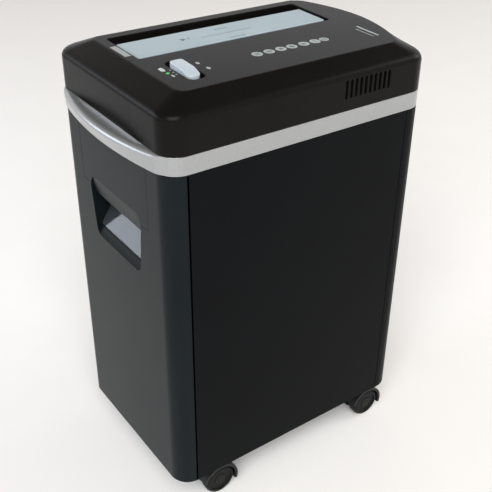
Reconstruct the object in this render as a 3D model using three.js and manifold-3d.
// A pull-out-bin paper shredder: a cabinet on four castors, a drawer with a hand recess and window,
// and a head that holds the feed slot, the cutters, the motor and its gears.
// Millimetres, +Z up, the drawer faces -Y, the long sides face +X and -X, the floor is z = 0.
import * as THREE from "three";
import { mergeVertices } from "three/addons/utils/BufferGeometryUtils.js";
import Module from "manifold-3d";

const wasm = await Module();
wasm.setup();

// Outer sizes.
const halfWidth = 122;
const halfDepth = 175;
const cornerRadius = 24;
const cabinetBottom = 50;
const bandBottom = 478;
const bandTop = 499;
const headWallTop = 536;
const headShoulder = 543;
const headTop = 553.5;
const lipReach = 19.4;
const lipFoot = 12.5;

// Clearances and skins.
const gap = 0.3;
const panelSkin = 4;
const coverSkin = 3;

// Cabinet and drawer.
const frontSeamY = -halfDepth + 21;
const rearSeamY = halfDepth - 29;
const baseThickness = 10;
const deckBottom = 462;
const drawerTop = bandBottom - 0.6;
const tubBottom = 80.5;
const tubTop = 440;
const tubFrontY = -147.4;
const tubBackY = 138;
const tubHalfWidth = 108;
const tubWall = 2.5;

// Window and hand recess in the drawer front. The pane leans back from the sill to the roof,
// and a lip hangs from the top edge for the fingers. Depths are behind the drawer's face.
const windowBottom = 332;
const windowTop = 410;
const recessWall = 2.5;
const sillDepth = 6;
const sillTop = 343;
const paneSlope = 1.37;
const paneThickness = 2;
const roofDepth = 44;
const roofFront = 406;
const lipBottom = 385;
const recessReach = 70;
const gripHalfWidth = 76;
const gripBottom = 398;

// Feed opening on top of the head.
const feedLeft = -82;
const feedPlateLeft = -64;
const feedPlateRight = -14;
const feedRight = -7;
const feedHalfLength = 130;
const throatHalfLength = 117;
const feedFloor = 548.5;

// Mode slider.
const knobX = 45;
const knobY = -106;
const knobLength = 43;
const knobWidth = 16;
const knobTravel = 6.5;

// Cutting unit: two parallel shafts along Y between two side plates.
const cutterZ = 500;
const cutterRightX = -55.5;
const cutterLeftX = -90.5;
const nipX = (cutterRightX + cutterLeftX) / 2;
const discRadius = 20;
const coreRadius = 12;
const journalRadius = 8;
const bushRadius = 11;
const shaftFrontY = -140;
const tieBarRadius = 4;
const tieBarZ = 529;
const discPitch = 16;
const discWidth = 7;
const rightDiscs = 14;
const plateInnerY = 120;
const plateThickness = 4;
const plateTop = 538;

// Gear train behind the rear plate: pinion, compound gear, drive gear; equal gears at the front.
const driveModule = 2;
const pinionTeeth = 10;
const largeTeeth = 40;
const smallTeeth = 11;
const driveTeeth = 33;
const syncModule = 2.5;
const syncTeeth = 14;
const trainAngle = -Math.PI / 18;
const firstGearY = 130;
const secondGearY = 144;
const syncFrontY = -139;
const shaftBore = 6.4;

// Motor.
const motorRadius = 39;
const motorLength = 105;
const motorShaftRadius = 4;

// Castors: swivel axes near the corners, wheels trailing to the rear.
const castorX = 98;
const castorY = 126;
const castorTrail = 12;
const wheelRadius = 21;
const wheelWidth = 15;
const wheelOffset = 4.4;
const axleRadius = 3;
const webHalf = 3.6;

const colours = {
  panel: { color: 0x1b2022, roughness: 0.45, metalness: 0 },
  shell: { color: 0x22282a, roughness: 0.38, metalness: 0 },
  silver: { color: 0xb9b9b6, roughness: 0.35, metalness: 0.6 },
  plate: { color: 0xafbec4, roughness: 0.4, metalness: 0.5 },
  steel: { color: 0x8f9296, roughness: 0.35, metalness: 1 },
  brass: { color: 0xb08d4a, roughness: 0.4, metalness: 1 },
  nylon: { color: 0xd9d6cc, roughness: 0.5, metalness: 0 },
  black: { color: 0x17191a, roughness: 0.6, metalness: 0 },
  clear: { color: 0x9aa3a6, roughness: 0.1, metalness: 0 },
  knob: { color: 0xd8dadb, roughness: 0.25, metalness: 0 },
  green: { color: 0x2fbf4a, roughness: 0.3, metalness: 0 },
  board: { color: 0x2c6b3f, roughness: 0.6, metalness: 0 },
};

const shredder = new THREE.Group();

// A closed geometry as a solid that can be cut and joined.
function solidOf(geometry) {
  const bare = geometry.index ? geometry.toNonIndexed() : geometry.clone();
  bare.deleteAttribute("normal");
  bare.deleteAttribute("uv");
  const merged = mergeVertices(bare, 1e-3);
  const mesh = new wasm.Mesh({
    numProp: 3,
    vertProperties: merged.attributes.position.array,
    triVerts: new Uint32Array(merged.index.array),
  });
  return new wasm.Manifold(mesh);
}

function geometryOf(solid) {
  const mesh = solid.getMesh();
  const geometry = new THREE.BufferGeometry();
  geometry.setAttribute("position", new THREE.BufferAttribute(new Float32Array(mesh.vertProperties), 3));
  geometry.setIndex(new THREE.BufferAttribute(new Uint32Array(mesh.triVerts), 1));
  geometry.computeVertexNormals();
  return geometry;
}

// Names a solid, gives it its colour and adds it to a group.
function addPiece(name, solid, colour, group = shredder) {
  const mesh = new THREE.Mesh(geometryOf(solid), new THREE.MeshStandardMaterial(colours[colour]));
  mesh.name = name;
  group.add(mesh);
}

function box(x0, x1, y0, y1, z0, z1) {
  const geometry = new THREE.BoxGeometry(x1 - x0, y1 - y0, z1 - z0);
  geometry.translate((x0 + x1) / 2, (y0 + y1) / 2, (z0 + z1) / 2);
  return solidOf(geometry);
}

// Prisms from an outline: upright between two heights, along Y with (x, z) points,
// and along X with (y, z) points.
function extruded(points, depth) {
  return new THREE.ExtrudeGeometry(new THREE.Shape(points), { depth, bevelEnabled: false });
}

function uprightPrism(points, z0, z1) {
  const geometry = extruded(points, z1 - z0);
  geometry.translate(0, 0, z0);
  return solidOf(geometry);
}

function prismAlongY(points, y0, y1) {
  const geometry = extruded(points, y1 - y0);
  geometry.rotateX(Math.PI / 2);
  geometry.translate(0, y1, 0);
  return solidOf(geometry);
}

function prismAlongX(points, x0, x1) {
  const geometry = extruded(points, x1 - x0);
  geometry.rotateX(Math.PI / 2);
  geometry.rotateZ(Math.PI / 2);
  geometry.translate(x0, 0, 0);
  return solidOf(geometry);
}

function rodAlongY(radius, x, z, y0, y1, sides = 16) {
  const geometry = new THREE.CylinderGeometry(radius, radius, y1 - y0, sides);
  geometry.translate(x, (y0 + y1) / 2, z);
  return solidOf(geometry);
}

function rodAlongX(radius, y, z, x0, x1, sides = 16) {
  const geometry = new THREE.CylinderGeometry(radius, radius, x1 - x0, sides);
  geometry.rotateZ(Math.PI / 2);
  geometry.translate((x0 + x1) / 2, y, z);
  return solidOf(geometry);
}

function uprightRod(radius, x, y, z0, z1, sides = 16) {
  const geometry = new THREE.CylinderGeometry(radius, radius, z1 - z0, sides);
  geometry.rotateX(Math.PI / 2);
  geometry.translate(x, y, (z0 + z1) / 2);
  return solidOf(geometry);
}

// A turned solid about an axis along Y, from (radius, y) points.
function turnedAlongY(profile, x, z, sides) {
  const geometry = new THREE.LatheGeometry(profile.map(([r, y]) => new THREE.Vector2(r, y)), sides);
  geometry.translate(x, 0, z);
  return solidOf(geometry);
}

// The points of a rounded rectangle, counter-clockwise from the front right corner.
// Radii are given for the front pair and the rear pair; rearEdge adds points along the rear.
function roundedOutline(x0, x1, y0, y1, frontRadius, rearRadius, steps = 6, rearEdge = 0) {
  const points = [];
  const corner = (cx, cy, radius, from) => {
    for (let i = 0; i <= steps; i++) {
      const angle = from + (i / steps) * (Math.PI / 2);
      points.push(new THREE.Vector2(cx + radius * Math.cos(angle), cy + radius * Math.sin(angle)));
    }
  };
  corner(x1 - frontRadius, y0 + frontRadius, frontRadius, -Math.PI / 2);
  corner(x1 - rearRadius, y1 - rearRadius, rearRadius, 0);
  const span = x1 - x0 - 2 * rearRadius;
  for (let i = 1; i <= rearEdge; i++) {
    points.push(new THREE.Vector2(x1 - rearRadius - (span * i) / (rearEdge + 1), y1));
  }
  corner(x0 + rearRadius, y1 - rearRadius, rearRadius, Math.PI / 2);
  corner(x0 + frontRadius, y0 + frontRadius, frontRadius, Math.PI);
  return points;
}

function bodyOutline(inset, steps = 6) {
  const radius = cornerRadius - inset;
  return roundedOutline(
    -halfWidth + inset, halfWidth - inset, -halfDepth + inset, halfDepth - inset, radius, radius, steps,
  );
}

// A solid through outlines of equal point counts, stacked upwards.
function loftedSolid(rings) {
  const count = rings[0].points.length;
  const positions = [];
  rings.forEach(({ points, z }) => points.forEach((p) => positions.push(p.x, p.y, z)));
  const triangles = [];
  for (let ring = 0; ring < rings.length - 1; ring++) {
    for (let i = 0; i < count; i++) {
      const a = ring * count + i;
      const b = ring * count + ((i + 1) % count);
      triangles.push(a, b, b + count, a, b + count, a + count);
    }
  }
  const last = (rings.length - 1) * count;
  THREE.ShapeUtils.triangulateShape(rings[0].points, []).forEach(([a, b, c]) => triangles.push(a, c, b));
  const lid = THREE.ShapeUtils.triangulateShape(rings[rings.length - 1].points, []);
  lid.forEach(([a, b, c]) => triangles.push(last + a, last + b, last + c));
  const geometry = new THREE.BufferGeometry();
  geometry.setAttribute("position", new THREE.Float32BufferAttribute(positions, 3));
  geometry.setIndex(triangles);
  return solidOf(geometry);
}

// An upright ring that follows the cabinet's outline.
function bodyRing(thickness, z0, z1) {
  const inside = uprightPrism(bodyOutline(thickness), z0 - 1, z1 + 1);
  return uprightPrism(bodyOutline(0), z0, z1).subtract(inside);
}

// ---- Cabinet ----

const castors = [
  { name: "front_left", x: -castorX, y: -castorY },
  { name: "front_right", x: castorX, y: -castorY },
  { name: "rear_left", x: -castorX, y: castorY },
  { name: "rear_right", x: castorX, y: castorY },
];
const stemRadius = 4;
const stemTop = 74;
const socketRadius = 9;
const baseFrontY = -150;
const runnerInner = 74;
const runnerOuter = 82;
const runnerTop = 80;

// Moulded base with a socket for each castor stem and a runner on each side for the bin.
function basePlate() {
  const inset = panelSkin + gap;
  const side = halfWidth - inset;
  const outline = roundedOutline(-side, side, baseFrontY, halfDepth - inset, 2, cornerRadius - inset);
  const top = cabinetBottom + baseThickness;
  let base = uprightPrism(outline, cabinetBottom, top);
  castors.forEach(({ x, y }) => {
    base = base.add(uprightRod(socketRadius, x, y, top - 1, stemTop + 4, 12));
    base = base.subtract(uprightRod(stemRadius + 0.4, x, y, cabinetBottom - 1, stemTop + 1, 12));
  });
  [-1, 1].forEach((sign) => {
    const middle = (sign * (runnerInner + runnerOuter)) / 2;
    const half = (runnerOuter - runnerInner) / 2;
    base = base.add(box(middle - half, middle + half, baseFrontY + 4, tubBackY, top - 1, runnerTop));
  });
  return base;
}

function sidePanel(side) {
  const outer = side * halfWidth;
  const inner = side * (halfWidth - panelSkin);
  return box(
    Math.min(outer, inner), Math.max(outer, inner),
    frontSeamY, rearSeamY, cabinetBottom, bandBottom - gap,
  );
}

function rearPanel() {
  const reach = halfWidth + 1;
  const keep = box(-reach, reach, rearSeamY + gap, halfDepth + 1, cabinetBottom - 1, bandBottom);
  return bodyRing(panelSkin, cabinetBottom, bandBottom - gap).intersect(keep);
}

// Frame that ties the panels together under the head and lets the cutting unit hang through.
const deckOpening = { left: -112, right: 88, front: -130, rear: 162, radius: 6 };

function topDeck() {
  const inset = panelSkin + gap;
  const half = halfWidth - inset;
  const outline = roundedOutline(-half, half, baseFrontY, halfDepth - inset, 2, cornerRadius - inset);
  const { left, right, front, rear, radius } = deckOpening;
  const opening = roundedOutline(left, right, front, rear, radius, radius, 3);
  return uprightPrism(outline, deckBottom, bandBottom - gap)
    .subtract(uprightPrism(opening, deckBottom - 1, bandBottom + 1));
}

const switchX = 70;
const switchZ = 395;
const switchHalfWidth = 8;
const switchHalfHeight = 12;
const switchFrontY = 144.7;
const plungerRadius = 3;
const plungerLength = 11;

function binSwitch() {
  const rear = halfDepth - panelSkin - gap;
  const bore = rodAlongY(plungerRadius + 0.4, switchX, switchZ, switchFrontY - 1, switchFrontY + 12, 12);
  return box(
    switchX - switchHalfWidth, switchX + switchHalfWidth, switchFrontY, rear,
    switchZ - switchHalfHeight, switchZ + switchHalfHeight,
  ).subtract(bore);
}

function binSwitchPlunger() {
  const nose = tubBackY + 0.6;
  return rodAlongY(plungerRadius, switchX, switchZ, nose, nose + plungerLength, 12);
}

addPiece("base_plate", basePlate(), "black");
addPiece("side_panel_left", sidePanel(-1), "panel");
addPiece("side_panel_right", sidePanel(1), "panel");
addPiece("rear_panel", rearPanel(), "panel");
addPiece("top_deck", topDeck(), "black");
addPiece("bin_switch", binSwitch(), "black");
addPiece("bin_switch_plunger", binSwitchPlunger(), "nylon");

// ---- Drawer ----

// Outline of the hand recess as (x, z) points: flat top, sides that lean in below, cut lower corners.
function windowOutline(grow = 0) {
  const outline = new THREE.Shape();
  const side = 59 + grow;
  const foot = 53 + grow;
  const top = windowTop + grow;
  const bottom = windowBottom - grow;
  outline.moveTo(-43 - grow / 2, bottom);
  outline.lineTo(43 + grow / 2, bottom);
  outline.quadraticCurveTo(foot - 2, bottom + 1, foot, bottom + 10);
  outline.lineTo(side, top - 16);
  outline.quadraticCurveTo(side - 2, top, side - 18, top);
  outline.lineTo(-side + 18, top);
  outline.quadraticCurveTo(-side + 2, top, -side, top - 16);
  outline.lineTo(-foot, bottom + 10);
  outline.quadraticCurveTo(-foot + 2, bottom + 1, -43 - grow / 2, bottom);
  const points = outline.getPoints(4);
  points.pop();
  return points;
}

function binFront() {
  const top = drawerTop;
  const reach = halfWidth + 1;
  const throughSkin = -halfDepth + panelSkin + 1;
  const keep = box(-reach, reach, -halfDepth - 1, frontSeamY - gap, cabinetBottom, top);
  const notch = box(
    -gripHalfWidth - gap, gripHalfWidth + gap, -halfDepth - 1, throughSkin, gripBottom - gap, top + 1,
  );
  const shell = bodyRing(panelSkin, cabinetBottom, top);
  const opening = prismAlongY(windowOutline(), -halfDepth - 1, throughSkin);
  const floor = uprightPrism(bodyOutline(1), cabinetBottom, cabinetBottom + panelSkin);
  const middle = box(-gripHalfWidth - 4, gripHalfWidth + 4, -halfDepth, halfDepth, top - 9, top + 1);
  const ceiling = uprightPrism(bodyOutline(1), top - panelSkin, top).subtract(middle);
  return shell.add(floor).add(ceiling).intersect(keep).subtract(notch).subtract(opening);
}

function gripPanel() {
  const skin = box(
    -gripHalfWidth, gripHalfWidth, -halfDepth, -halfDepth + panelSkin, gripBottom, drawerTop,
  );
  return skin.subtract(prismAlongY(windowOutline(), -halfDepth - 1, -halfDepth + panelSkin + 1));
}

// Height of the leaning pane's face at a depth behind the drawer's face.
function paneHeight(depth) {
  return sillTop + (depth - sillDepth) * paneSlope;
}

// A point in (y, z) at a depth behind the drawer's face.
function recessPoint(depth, z) {
  return new THREE.Vector2(-halfDepth + depth, z);
}

// Walls, sill, roof, finger lip and flange of the hand recess; its back is left open for the pane.
function windowRecess() {
  const front = -halfDepth + panelSkin + gap;
  const skin = panelSkin + gap;
  const sillSlope = (sillTop - windowBottom) / sillDepth;
  const behindRoof = roofDepth + 1.8;
  const cavity = [
    recessPoint(-1, windowBottom - sillSlope),
    recessPoint(sillDepth, sillTop),
    recessPoint(sillDepth + 0.6, sillTop),
    recessPoint(roofDepth + 0.6, paneHeight(roofDepth)),
    recessPoint(sillDepth + 1, roofFront),
    recessPoint(sillDepth + 2, lipBottom + 2),
    recessPoint(sillDepth - 1, lipBottom),
    recessPoint(0, windowTop),
    recessPoint(-1, windowTop + 5),
  ];
  const outside = [
    recessPoint(skin, windowBottom - recessWall),
    recessPoint(sillDepth + 0.1, windowBottom - recessWall),
    recessPoint(sillDepth + 0.1, paneHeight(sillDepth + 0.1)),
    recessPoint(behindRoof, paneHeight(behindRoof)),
    recessPoint(sillDepth + 1, roofFront + recessWall + 0.5),
    recessPoint(skin, windowTop + recessWall),
  ];
  const back = -halfDepth + behindRoof + 1;
  const inFront = prismAlongY(windowOutline(-gap), -halfDepth + gap, front + 0.5);
  const tube = prismAlongY(windowOutline(recessWall), front, back)
    .intersect(prismAlongX(outside, -recessReach, recessReach));
  const flange = prismAlongY(windowOutline(9), front, front + 1.6)
    .subtract(prismAlongY(windowOutline(0.5), front - 1, front + 2));
  const hollow = prismAlongY(windowOutline(), -halfDepth - 2, back + 1)
    .intersect(prismAlongX(cavity, -recessReach, recessReach));
  return inFront.add(tube).subtract(hollow).add(flange);
}

// Clear pane that lies on the recess's open back.
function windowPane() {
  const steep = Math.hypot(1, paneSlope);
  const behind = (depth, distance) => recessPoint(
    depth + (distance * paneSlope) / steep, paneHeight(depth) - distance / steep,
  );
  const low = sillDepth + 0.2;
  const high = roofDepth + 1.4;
  const far = gap + paneThickness;
  const slab = [behind(low, gap), behind(high, gap), behind(high, far), behind(low, far)];
  const outline = prismAlongY(windowOutline(recessWall - 0.5), -halfDepth, -halfDepth + roofDepth + 10);
  return prismAlongX(slab, -recessReach, recessReach).intersect(outline);
}

function binTub() {
  const outer = box(-tubHalfWidth, tubHalfWidth, tubFrontY, tubBackY, tubBottom, tubTop);
  const rim = box(-tubHalfWidth - 4, tubHalfWidth + 4, tubFrontY, tubBackY, tubTop - 3, tubTop);
  const inner = box(
    -tubHalfWidth + tubWall, tubHalfWidth - tubWall, tubFrontY + tubWall, tubBackY - tubWall,
    tubBottom + tubWall, tubTop + 1,
  );
  const sightFront = tubFrontY - 1;
  const sightRear = tubFrontY + tubWall + 1;
  const sight = box(-63, 63, sightFront, sightRear, sillTop + 2, windowTop + 3.5);
  return outer.add(rim).subtract(inner).subtract(sight);
}

addPiece("bin_front", binFront(), "panel");
addPiece("grip_panel", gripPanel(), "panel");
addPiece("window_recess", windowRecess(), "black");
addPiece("window_pane", windowPane(), "clear");
addPiece("bin_tub", binTub(), "black");

// ---- Head ----

// Outline of the head at one height: the rear edge is bowed by rearBow from its middle to its corners.
function headOutline(sideInset, frontInset, rearInset, frontRadius, rearRadius, rearBow) {
  const half = halfWidth - sideInset;
  const rear = halfDepth - rearInset;
  const points = roundedOutline(-half, half, -halfDepth + frontInset, rear, frontRadius, rearRadius, 6, 7);
  return points.map((p) => {
    if (p.y < 0) return p;
    return new THREE.Vector2(p.x, p.y - rearBow * (p.x / half) ** 2);
  });
}

function headBlock(inset, top) {
  const drop = headTop - top;
  const wallRadius = cornerRadius - inset;
  const wall = headOutline(inset, inset, inset, wallRadius, wallRadius, 0);
  return loftedSolid([
    { z: bandTop + gap - (inset ? 1 : 0), points: wall },
    { z: headWallTop, points: wall },
    { z: headShoulder - drop, points: headOutline(inset + 4, inset + 5, inset + 2, 24, 24, 3) },
    { z: top, points: headOutline(inset + 26, inset + 32, inset + 3.5, 12, 12, 26) },
  ]);
}

const knobWellFloor = 549.5;
const lampX = 33;
const lampY = -126;
const lampDepth = 8;
const greenX = 45;
const greenRadius = 2.2;
const ventTop = 534;
const ventBottom = 513;
const ventFirstY = 50;
const ventPitch = 6.9;
const ventSlots = 10;
const ventHalfWidth = 1.7;
const inletX = 82;
const rockerX = 47;
const rearPocketZ = 516;
const pocketHalfHeight = 11;

function headCover() {
  const shell = headBlock(0, headTop);
  const feedReach = feedHalfLength + coverSkin;
  const feedBlock = box(
    feedLeft - coverSkin, feedRight + coverSkin, -feedReach, feedReach, feedFloor - coverSkin, headTop,
  );
  const halfWell = knobLength / 2 + knobTravel + 1;
  const wellReach = halfWell + coverSkin;
  const wellBlock = box(
    knobX - wellReach, knobX + wellReach, knobY - 13, knobY + 13, knobWellFloor - coverSkin, headTop,
  );
  const hollow = headBlock(coverSkin, headTop - coverSkin).subtract(feedBlock).subtract(wellBlock);
  let cover = shell.subtract(hollow);
  const well = roundedOutline(
    knobX - halfWell, knobX + halfWell, knobY - 10, knobY + 10, 8, 8, 3,
  );
  const cuts = [
    box(feedLeft, feedRight, -feedHalfLength, feedHalfLength, feedFloor, headTop + 1),
    box(feedLeft, feedPlateLeft - gap, -throatHalfLength, throatHalfLength, feedFloor - 5, headTop + 1),
    uprightPrism(well, knobWellFloor, headTop + 1),
    box(knobX - 12, knobX + 12, knobY - 3, knobY + 3, knobWellFloor - 5, headTop),
    uprightPrism(lampOutline(gap), headTop - 10, headTop + 1),
    uprightRod(greenRadius + gap, greenX, lampY, headTop - 10, headTop + 1, 12),
    box(
      rockerX - 11 - gap, inletX + 14 + gap, halfDepth - 10, halfDepth + 1,
      rearPocketZ - pocketHalfHeight - gap, rearPocketZ + pocketHalfHeight + gap,
    ),
  ];
  for (let i = 0; i < ventSlots; i++) {
    const y = ventFirstY + i * ventPitch;
    cuts.push(box(
      halfWidth - 10, halfWidth + 1, y - ventHalfWidth, y + ventHalfWidth, ventBottom, ventTop,
    ));
  }
  cuts.forEach((cut) => {
    cover = cover.subtract(cut);
  });
  return cover;
}

function lampOutline(grow) {
  const halfX = 5 + grow;
  const halfY = 2.6 + grow;
  return roundedOutline(lampX - halfX, lampX + halfX, lampY - halfY, lampY + halfY, 2.5, 2.5, 3);
}

function lampLens() {
  return uprightPrism(lampOutline(0), headTop - lampDepth, headTop + 0.6);
}

function greenLens() {
  return uprightRod(greenRadius, greenX, lampY, headTop - lampDepth, headTop + 0.6, 12);
}

// Silver band around the head's foot, with a crescent lip that leans out over the drawer.
function crescent(reach, back, z) {
  const points = [];
  const half = halfWidth - 14;
  const steps = 16;
  for (let i = 0; i <= steps; i++) {
    const x = -half + (2 * half * i) / steps;
    const bow = Math.cos((x / half) * (Math.PI / 2)) ** 0.8;
    points.push(new THREE.Vector2(x, -halfDepth - reach * bow));
  }
  points.push(new THREE.Vector2(half, -halfDepth + back));
  points.push(new THREE.Vector2(-half, -halfDepth + back));
  return { points, z };
}

function trimBand() {
  const lip = loftedSolid([crescent(lipFoot, 3, bandBottom), crescent(lipReach, 3, bandTop)]);
  const dish = loftedSolid([
    crescent(lipReach - 11, 0.1, bandTop - 3),
    crescent(lipReach - 9, 0.1, bandTop + 1),
  ]);
  return bodyRing(panelSkin, bandBottom, bandTop).add(lip).subtract(dish);
}

// Plate inside the band that carries the cutting unit, the motor and the circuit board.
const trayBottom = 478;
const trayTop = 482;
const trayOpenings = [
  { left: -110, right: -28, front: -142, rear: 126 },
  { left: -6, right: 84, front: -4, rear: 126 },
  { left: -109, right: 60, front: 119.5, rear: 161 },
];

const boardLeft = 16;
const boardRight = 110;
const boardFront = -150;
const boardRear = -70;
const boardBottom = 520;
const boardTop = 521.6;
const postInset = 6;

function headTray() {
  let tray = uprightPrism(bodyOutline(panelSkin + gap), trayBottom, trayTop);
  trayOpenings.forEach(({ left, right, front, rear }) => {
    tray = tray.subtract(box(left, right, front, rear, trayBottom - 1, trayTop + 1));
  });
  [boardLeft + postInset, boardRight - postInset].forEach((x) => {
    [boardFront + postInset, boardRear - postInset].forEach((y) => {
      tray = tray.add(uprightRod(3.5, x, y, trayTop - 1, boardBottom - gap, 8));
    });
  });
  return tray;
}

// Circuit board with a relay, a transformer and two capacitors on it.
function controlBoard() {
  const foot = boardTop - 1;
  const relay = box(66, 84, -92, -76, foot, boardTop + 12);
  const transformer = box(88, 104, -138, -118, foot, boardTop + 14);
  const largeCapacitor = uprightRod(6, 30, -84, foot, boardTop + 16, 10);
  const smallCapacitor = uprightRod(5, 94, -100, foot, boardTop + 12, 10);
  return box(boardLeft, boardRight, boardFront, boardRear, boardBottom, boardTop)
    .add(relay)
    .add(transformer)
    .add(largeCapacitor)
    .add(smallCapacitor);
}

function slideSwitch() {
  const top = knobWellFloor - coverSkin - gap - 0.4;
  const body = box(knobX - 14, knobX + 14, knobY - 6, knobY + 6, boardTop + gap, top);
  return body.subtract(box(knobX - 11, knobX + 11, knobY - 2.6, knobY + 2.6, top - 8, top + 1));
}

// Slider: a raised grip that falls away to a thin toe, on a stem that reaches the switch below.
function modeKnob() {
  const x0 = knobX - knobLength / 2;
  const side = new THREE.Shape();
  const foot = knobWellFloor + gap;
  side.moveTo(x0, foot);
  side.lineTo(x0 + knobLength, foot);
  side.lineTo(x0 + knobLength, foot + 3);
  side.lineTo(x0 + knobLength * 0.66, foot + 8.5);
  side.lineTo(x0 + 4, foot + 9.5);
  side.quadraticCurveTo(x0, foot + 9, x0, foot + 4);
  const grip = prismAlongY(side.getPoints(4), knobY - knobWidth / 2, knobY + knobWidth / 2);
  const plan = roundedOutline(
    x0, x0 + knobLength, knobY - knobWidth / 2, knobY + knobWidth / 2, 7, 7, 4,
  );
  const stem = box(knobX - 4, knobX + 4, knobY - 2, knobY + 2, knobWellFloor - 8, foot + 1);
  return grip.intersect(uprightPrism(plan, foot - 1, foot + 20)).add(stem);
}

function feedPlate() {
  const y = feedHalfLength - 2.5;
  const z = feedFloor + gap;
  const top = headTop - 1.2;
  const edge = [
    new THREE.Vector2(feedPlateLeft, z),
    new THREE.Vector2(feedPlateRight, z),
    new THREE.Vector2(feedPlateRight, top - 1.5),
    new THREE.Vector2(feedPlateRight - 1.5, top),
    new THREE.Vector2(feedPlateLeft + 2.5, top),
    new THREE.Vector2(feedPlateLeft, top - 2),
  ];
  return prismAlongY(edge, -y, y);
}

// Funnel under the feed opening that leads the sheet down to the cutters.
function feedThroat() {
  const top = feedFloor - coverSkin - gap;
  const foot = 518.5;
  const outer = [
    new THREE.Vector2(feedLeft - 5, top),
    new THREE.Vector2(nipX - 5.5, foot),
    new THREE.Vector2(nipX + 5.5, foot),
    new THREE.Vector2(feedPlateLeft + 5, top),
  ];
  const inner = [
    new THREE.Vector2(feedLeft - 2.4, top + 1),
    new THREE.Vector2(nipX - 3.5, foot - 0.5),
    new THREE.Vector2(nipX + 3.5, foot - 0.5),
    new THREE.Vector2(feedPlateLeft + 2.4, top + 1),
  ];
  const funnel = prismAlongY(outer, -throatHalfLength - 2.5, throatHalfLength + 2.5);
  return funnel.subtract(prismAlongY(inner, -throatHalfLength, throatHalfLength));
}

function paperSensor() {
  return box(-59.5, -50, -10, 10, 526, 540);
}

// Inlet socket and switch frame moulded in one piece, flush with the rear wall.
function powerInlet() {
  const rear = halfDepth - gap;
  const low = rearPocketZ - pocketHalfHeight;
  const high = rearPocketZ + pocketHalfHeight;
  const deep = box(inletX - 18, inletX + 14, 152, rear, low, high);
  const shallow = box(rockerX - 11, inletX - 17, 159.5, rear, low, high);
  const socket = box(inletX - 11.5, inletX + 11.5, 157, halfDepth + 1, low + 3, high - 3);
  const pocket = box(rockerX - 9, rockerX + 9, 161.5, halfDepth + 1, low + 3, high - 3);
  const pins = [-7, 0, 7].map((dx) => box(
    inletX + dx - 1, inletX + dx + 1, 156, 167, rearPocketZ - 2.5, rearPocketZ + 2.5,
  ));
  return pins.reduce((all, pin) => all.add(pin), deep.add(shallow).subtract(socket).subtract(pocket));
}

// Rocker seen from its pivot: it leans on its lower half and swings to its upper half.
const rockerTilt = Math.PI / 18;
const rockerPivotY = 167;

function powerRocker() {
  const lean = (dy, dz) => new THREE.Vector2(
    rockerPivotY + dy * Math.cos(rockerTilt) - dz * Math.sin(rockerTilt),
    rearPocketZ + dy * Math.sin(rockerTilt) + dz * Math.cos(rockerTilt),
  );
  const outline = [
    lean(-4, -2), lean(2, -6.5), lean(6, -6.5), lean(4.6, 0), lean(6, 6.5), lean(2, 6.5), lean(-4, 2),
  ];
  return prismAlongX(outline, rockerX - 8.5, rockerX + 8.5);
}

addPiece("head_cover", headCover(), "shell");
addPiece("trim_band", trimBand(), "silver");
addPiece("head_tray", headTray(), "black");
addPiece("feed_plate", feedPlate(), "plate");
addPiece("feed_throat", feedThroat(), "black");
addPiece("paper_sensor", paperSensor(), "black");
addPiece("mode_knob", modeKnob(), "knob");
addPiece("slide_switch", slideSwitch(), "steel");
addPiece("lamp_lens", lampLens(), "knob");
addPiece("green_lens", greenLens(), "green");
addPiece("control_board", controlBoard(), "board");
addPiece("power_inlet", powerInlet(), "black");
addPiece("power_rocker", powerRocker(), "black");

// ---- Cutting unit ----

const gearDistance = ((driveTeeth + smallTeeth) * driveModule) / 2;
const compoundX = cutterRightX + gearDistance * Math.cos(trainAngle);
const compoundZ = cutterZ + gearDistance * Math.sin(trainAngle);
const motorX = compoundX + ((largeTeeth + pinionTeeth) * driveModule) / 2;
const motorZ = compoundZ;

// Steel side plate: ears rest on the tray, the rest hangs through it.
const leftEar = -117.5;
const leftHang = -108;
const frontPlate = { ear: -20, hang: -30, slopeFrom: -24, earDrop: 0 };
const rearPlate = { ear: 94, hang: 82, slopeFrom: 60, earDrop: 12 };

function sidePlate(rear) {
  const y0 = rear ? plateInnerY : -plateInnerY - plateThickness;
  const y1 = y0 + plateThickness;
  const { ear, hang, slopeFrom, earDrop } = rear ? rearPlate : frontPlate;
  const rest = trayTop + gap;
  const outline = [
    new THREE.Vector2(leftHang, deckBottom),
    new THREE.Vector2(hang, deckBottom),
    new THREE.Vector2(hang, rest),
    new THREE.Vector2(ear, rest),
    new THREE.Vector2(ear, plateTop - earDrop),
    new THREE.Vector2(slopeFrom, plateTop),
    new THREE.Vector2(leftEar + 5.5, plateTop),
    new THREE.Vector2(leftEar, plateTop - 8),
    new THREE.Vector2(leftEar, rest),
    new THREE.Vector2(leftHang, rest),
  ];
  let plate = prismAlongY(outline, y0, y1);
  [cutterLeftX, cutterRightX].forEach((x) => {
    plate = plate.subtract(rodAlongY(bushRadius + 0.4, x, cutterZ, y0 - 1, y1 + 1, 20));
  });
  if (rear) {
    plate = plate.subtract(rodAlongY(12, motorX, motorZ, y0 - 1, y1 + 1, 16));
    plate = plate.add(rodAlongY(5, compoundX, compoundZ, y1 - 1, secondGearY + 10, 12));
  }
  return plate;
}

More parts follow.
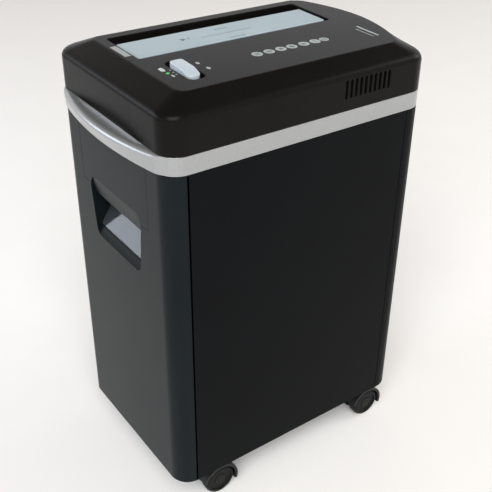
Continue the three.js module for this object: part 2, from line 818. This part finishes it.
// Cutter shaft turned in one piece: journals, core and discs.
function cutterShaft(x, discs, rearEnd) {
  const profile = [[0, shaftFrontY], [6, shaftFrontY], [6, -127], [journalRadius, -127]];
  profile.push([journalRadius, -117.5], [coreRadius, -117.5]);
  const first = (-(discs - 1) * discPitch) / 2;
  for (let i = 0; i < discs; i++) {
    const y = first + i * discPitch;
    profile.push([coreRadius, y - discWidth / 2], [discRadius, y - discWidth / 2]);
    profile.push([discRadius, y + discWidth / 2], [coreRadius, y + discWidth / 2]);
  }
  profile.push([coreRadius, 117.5], [journalRadius, 117.5], [journalRadius, 127]);
  if (rearEnd > 127) profile.push([6, 127], [6, rearEnd]);
  profile.push([0, rearEnd]);
  return turnedAlongY(profile, x, cutterZ, 10);
}

// Comb whose fingers clear the paper from between the discs of one shaft.
function stripperComb(x, discs, side) {
  const bar = side < 0 ? [x - 26.5, x - 21.5] : [x + 21.5, x + 26.5];
  const reach = x + side * 13;
  const first = (-(discs - 1) * discPitch) / 2;
  const shape = new THREE.Shape();
  const root = side < 0 ? bar[1] : bar[0];
  const back = side < 0 ? bar[0] : bar[1];
  const end = plateInnerY - gap;
  shape.moveTo(back, -end);
  shape.lineTo(root, -end);
  for (let i = 0; i < discs - 1; i++) {
    const y = first + (i + 0.5) * discPitch;
    shape.lineTo(root, y - 3);
    shape.lineTo(reach, y - 3);
    shape.lineTo(reach, y + 3);
    shape.lineTo(root, y + 3);
  }
  shape.lineTo(root, end);
  shape.lineTo(back, end);
  return uprightPrism(shape.getPoints(), cutterZ - 6, cutterZ + 6);
}

function shaftBush(x, rear) {
  const inner = journalRadius + 0.4;
  const flange = bushRadius + 3;
  const sign = rear ? 1 : -1;
  const profile = [
    [inner, 118], [inner, 125.5], [bushRadius, 125.5], [bushRadius, 119.5], [flange, 119.5], [flange, 118],
  ];
  const ring = profile.map(([r, y]) => [r, sign * y]);
  ring.push(ring[0]);
  return turnedAlongY(rear ? ring.reverse() : ring, x, cutterZ, 16);
}

function tieBar(x) {
  return rodAlongY(tieBarRadius, x, tieBarZ, -plateInnerY + gap, plateInnerY - gap, 10);
}

// Gear outline in (x, z): straight-flanked teeth with one tooth centred on the angle toothAt.
function gearOutline(teeth, size, x, z, toothAt) {
  const pitchRadius = (teeth * size) / 2;
  const tip = pitchRadius + 0.85 * size;
  const root = pitchRadius - 1.15 * size;
  const pitchHalf = ((Math.PI * size) / 2 - 0.25 * size) / 2 / pitchRadius;
  const tipHalf = pitchHalf - (0.85 * size * Math.tan(0.4)) / pitchRadius;
  const rootHalf = pitchHalf + (1.15 * size * Math.tan(0.3)) / pitchRadius;
  const points = [];
  for (let i = 0; i < teeth; i++) {
    const middle = toothAt + (i * 2 * Math.PI) / teeth;
    const corners = [[root, -rootHalf], [tip, -tipHalf], [tip, tipHalf], [root, rootHalf]];
    corners.forEach(([radius, turn]) => {
      points.push(new THREE.Vector2(
        x + radius * Math.cos(middle + turn),
        z + radius * Math.sin(middle + turn),
      ));
    });
  }
  return points;
}

function gear(teeth, size, x, z, toothAt, y0, y1, bore) {
  const blank = prismAlongY(gearOutline(teeth, size, x, z, toothAt), y0, y1);
  return blank.subtract(rodAlongY(bore, x, z, y0 - 1, y1 + 1, 12));
}

function compoundGear() {
  const bore = 5.4;
  const small = gear(
    smallTeeth, driveModule, compoundX, compoundZ, Math.PI + trainAngle, firstGearY, secondGearY, bore,
  );
  const large = gear(
    largeTeeth, driveModule, compoundX, compoundZ, Math.PI / largeTeeth, secondGearY, secondGearY + 8, bore,
  );
  return small.add(large);
}

// Box over the gears, open towards the rear plate.
const gearBox = { left: -106, right: 57, rear: 158, bottom: 446, top: 539, skin: 2 };

function gearCover() {
  const { left, right, rear, bottom, top, skin } = gearBox;
  const outer = box(left, right, plateInnerY + plateThickness + gap, rear, bottom, top);
  return outer.subtract(box(left + skin, right - skin, plateInnerY, rear - skin, bottom + skin, top - skin));
}

addPiece("front_plate", sidePlate(false), "steel");
addPiece("rear_plate", sidePlate(true), "steel");
addPiece("cutter_shaft_right", cutterShaft(cutterRightX, rightDiscs, firstGearY + 12.5), "steel");
addPiece("cutter_shaft_left", cutterShaft(cutterLeftX, rightDiscs - 1, 127), "steel");
addPiece("stripper_comb_right", stripperComb(cutterRightX, rightDiscs, 1), "black");
addPiece("stripper_comb_left", stripperComb(cutterLeftX, rightDiscs - 1, -1), "black");
addPiece("bush_front_left", shaftBush(cutterLeftX, false), "brass");
addPiece("bush_front_right", shaftBush(cutterRightX, false), "brass");
addPiece("bush_rear_left", shaftBush(cutterLeftX, true), "brass");
addPiece("bush_rear_right", shaftBush(cutterRightX, true), "brass");
addPiece("tie_bar_left", tieBar(leftHang - 1), "steel");
addPiece("tie_bar_right", tieBar(frontPlate.hang + 3), "steel");
addPiece("sync_gear_right", gear(
  syncTeeth, syncModule, cutterRightX, cutterZ, Math.PI, syncFrontY, syncFrontY + 10, shaftBore,
), "steel");
addPiece("sync_gear_left", gear(
  syncTeeth, syncModule, cutterLeftX, cutterZ, Math.PI / syncTeeth, syncFrontY, syncFrontY + 10, shaftBore,
), "steel");
addPiece("drive_gear", gear(
  driveTeeth, driveModule, cutterRightX, cutterZ, trainAngle + Math.PI / driveTeeth,
  firstGearY, firstGearY + 12, shaftBore,
), "nylon");
addPiece("compound_gear", compoundGear(), "nylon");
addPiece("gear_cover", gearCover(), "black");

// ---- Motor ----

const motorRearY = plateInnerY - gap;
const motorFrontY = motorRearY - motorLength;

// Can with end bells; its hollow is open through the two shaft bores.
function motorHousing() {
  const bore = motorShaftRadius + 0.4;
  const hollow = motorRadius - 8;
  const front = motorFrontY + 6;
  const rear = motorRearY - 6;
  const profile = [
    [bore, motorFrontY], [bore, front], [hollow, front], [hollow, rear], [bore, rear], [bore, motorRearY],
    [motorRadius - 6, motorRearY], [motorRadius, rear], [motorRadius, front], [motorRadius - 6, motorFrontY],
  ];
  profile.push(profile[0]);
  profile.reverse();
  return turnedAlongY(profile, motorX, motorZ, 20);
}

function motorRotor() {
  const r = motorShaftRadius;
  const core = motorRadius - 9.5;
  const profile = [
    [0, motorFrontY - 14], [r, motorFrontY - 14], [r, motorFrontY + 12], [core, motorFrontY + 12],
    [core, motorRearY - 12], [r, motorRearY - 12], [r, secondGearY + 10], [0, secondGearY + 10],
  ];
  return turnedAlongY(profile, motorX, motorZ, 16);
}

const fanRadius = 33;
const fanBlades = 8;

function motorFan() {
  const y0 = motorFrontY - 13;
  const hub = rodAlongY(10, motorX, motorZ, y0, y0 + 11, 12);
  let fan = hub.add(rodAlongY(fanRadius, motorX, motorZ, y0 + 9, y0 + 11, 16));
  for (let i = 0; i < fanBlades; i++) {
    const blade = new THREE.BoxGeometry(24, 9, 1.6);
    blade.translate(20, y0 + 5, 0);
    blade.rotateY((i * 2 * Math.PI) / fanBlades);
    blade.translate(motorX, 0, motorZ);
    fan = fan.add(solidOf(blade));
  }
  return fan.subtract(rodAlongY(motorShaftRadius + 0.4, motorX, motorZ, y0 - 1, y0 + 12, 12));
}

// Strap over the motor with a foot on each side of it.
const strapThickness = 3;

function motorBracket() {
  const y0 = 30;
  const y1 = 44;
  const z0 = trayTop + gap;
  const inner = motorRadius + 0.5;
  const arch = rodAlongY(inner + strapThickness, motorX, motorZ, y0, y1, 24);
  const feet = box(motorX - inner - 20, motorX + inner + 16, y0, y1, z0, z0 + strapThickness);
  const above = box(motorX - 80, motorX + 80, y0, y1, z0, z0 + 80);
  const motorSpace = rodAlongY(inner, motorX, motorZ, y0 - 1, y1 + 1, 24);
  return arch.add(feet).intersect(above).subtract(motorSpace);
}

const capacitorRadius = 14;
const capacitorX = 99;

function runCapacitor() {
  return rodAlongY(capacitorRadius, capacitorX, trayTop + gap + capacitorRadius, -50, 10, 16);
}

addPiece("motor_housing", motorHousing(), "steel");
addPiece("motor_rotor", motorRotor(), "steel");
addPiece("motor_pinion", gear(
  pinionTeeth, driveModule, motorX, motorZ, Math.PI, secondGearY, secondGearY + 8, motorShaftRadius + 0.4,
), "steel");
addPiece("motor_fan", motorFan(), "nylon");
addPiece("motor_bracket", motorBracket(), "steel");
addPiece("run_capacitor", runCapacitor(), "silver");

// ---- Castors ----

// Fender over the top and the trailing side of both wheels, web between them, axle and swivel stem.
function castorHood() {
  const fender = new THREE.Shape();
  const inner = wheelRadius + 1.2;
  const outer = inner + 3.6;
  fender.absarc(0, 0, outer, -0.35, Math.PI * 0.92, false);
  fender.absarc(0, 0, inner, Math.PI * 0.92, -0.35, true);
  const half = wheelOffset + wheelWidth + 0.6;
  const outline = fender.getPoints(5).map((p) => new THREE.Vector2(p.x + castorTrail, p.y + wheelRadius));
  const crown = wheelRadius + inner;
  const web = rodAlongX(14, castorTrail, wheelRadius, -webHalf, webHalf, 10);
  const neck = box(-webHalf, webHalf, -6, castorTrail + 6, wheelRadius, crown + 1);
  const washer = uprightRod(7, 0, 0, crown - 1.5, cabinetBottom - gap, 12);
  const stem = uprightRod(stemRadius, 0, 0, cabinetBottom - 1, stemTop, 12);
  const axle = rodAlongX(axleRadius, castorTrail, wheelRadius, -half + 1.4, half - 1.4, 8);
  return prismAlongX(outline, -half, half).add(web).add(neck).add(washer).add(stem).add(axle);
}

// Wheel with a soft shoulder and a dished outer face; one flat of its polygon lies on the floor.
function castorWheel(side) {
  const bore = axleRadius + 0.4;
  const near = wheelOffset;
  const far = wheelOffset + wheelWidth;
  const sides = 20;
  const rim = wheelRadius / Math.cos(Math.PI / sides);
  const profile = [
    [bore, near], [rim - 1, near], [rim, near + 2], [rim, far - 5], [rim - 5, far], [bore, far - 1.5],
  ];
  profile.push(profile[0]);
  const geometry = new THREE.LatheGeometry(profile.map(([r, x]) => new THREE.Vector2(r, x)), sides);
  geometry.rotateY(Math.PI / sides);
  geometry.rotateZ(side > 0 ? -Math.PI / 2 : Math.PI / 2);
  geometry.translate(0, castorTrail, wheelRadius);
  return solidOf(geometry);
}

castors.forEach(({ name, x, y }) => {
  const castor = new THREE.Group();
  castor.position.set(x, y, 0);
  addPiece("castor_hood_" + name, castorHood(), "black", castor);
  addPiece("castor_wheel_" + name + "_a", castorWheel(-1), "black", castor);
  addPiece("castor_wheel_" + name + "_b", castorWheel(1), "black", castor);
  shredder.add(castor);
});

// The origin is on the floor under the middle of the outer box, which the lip makes longer at the front.
shredder.position.y = lipReach / 2;

export default shredder;
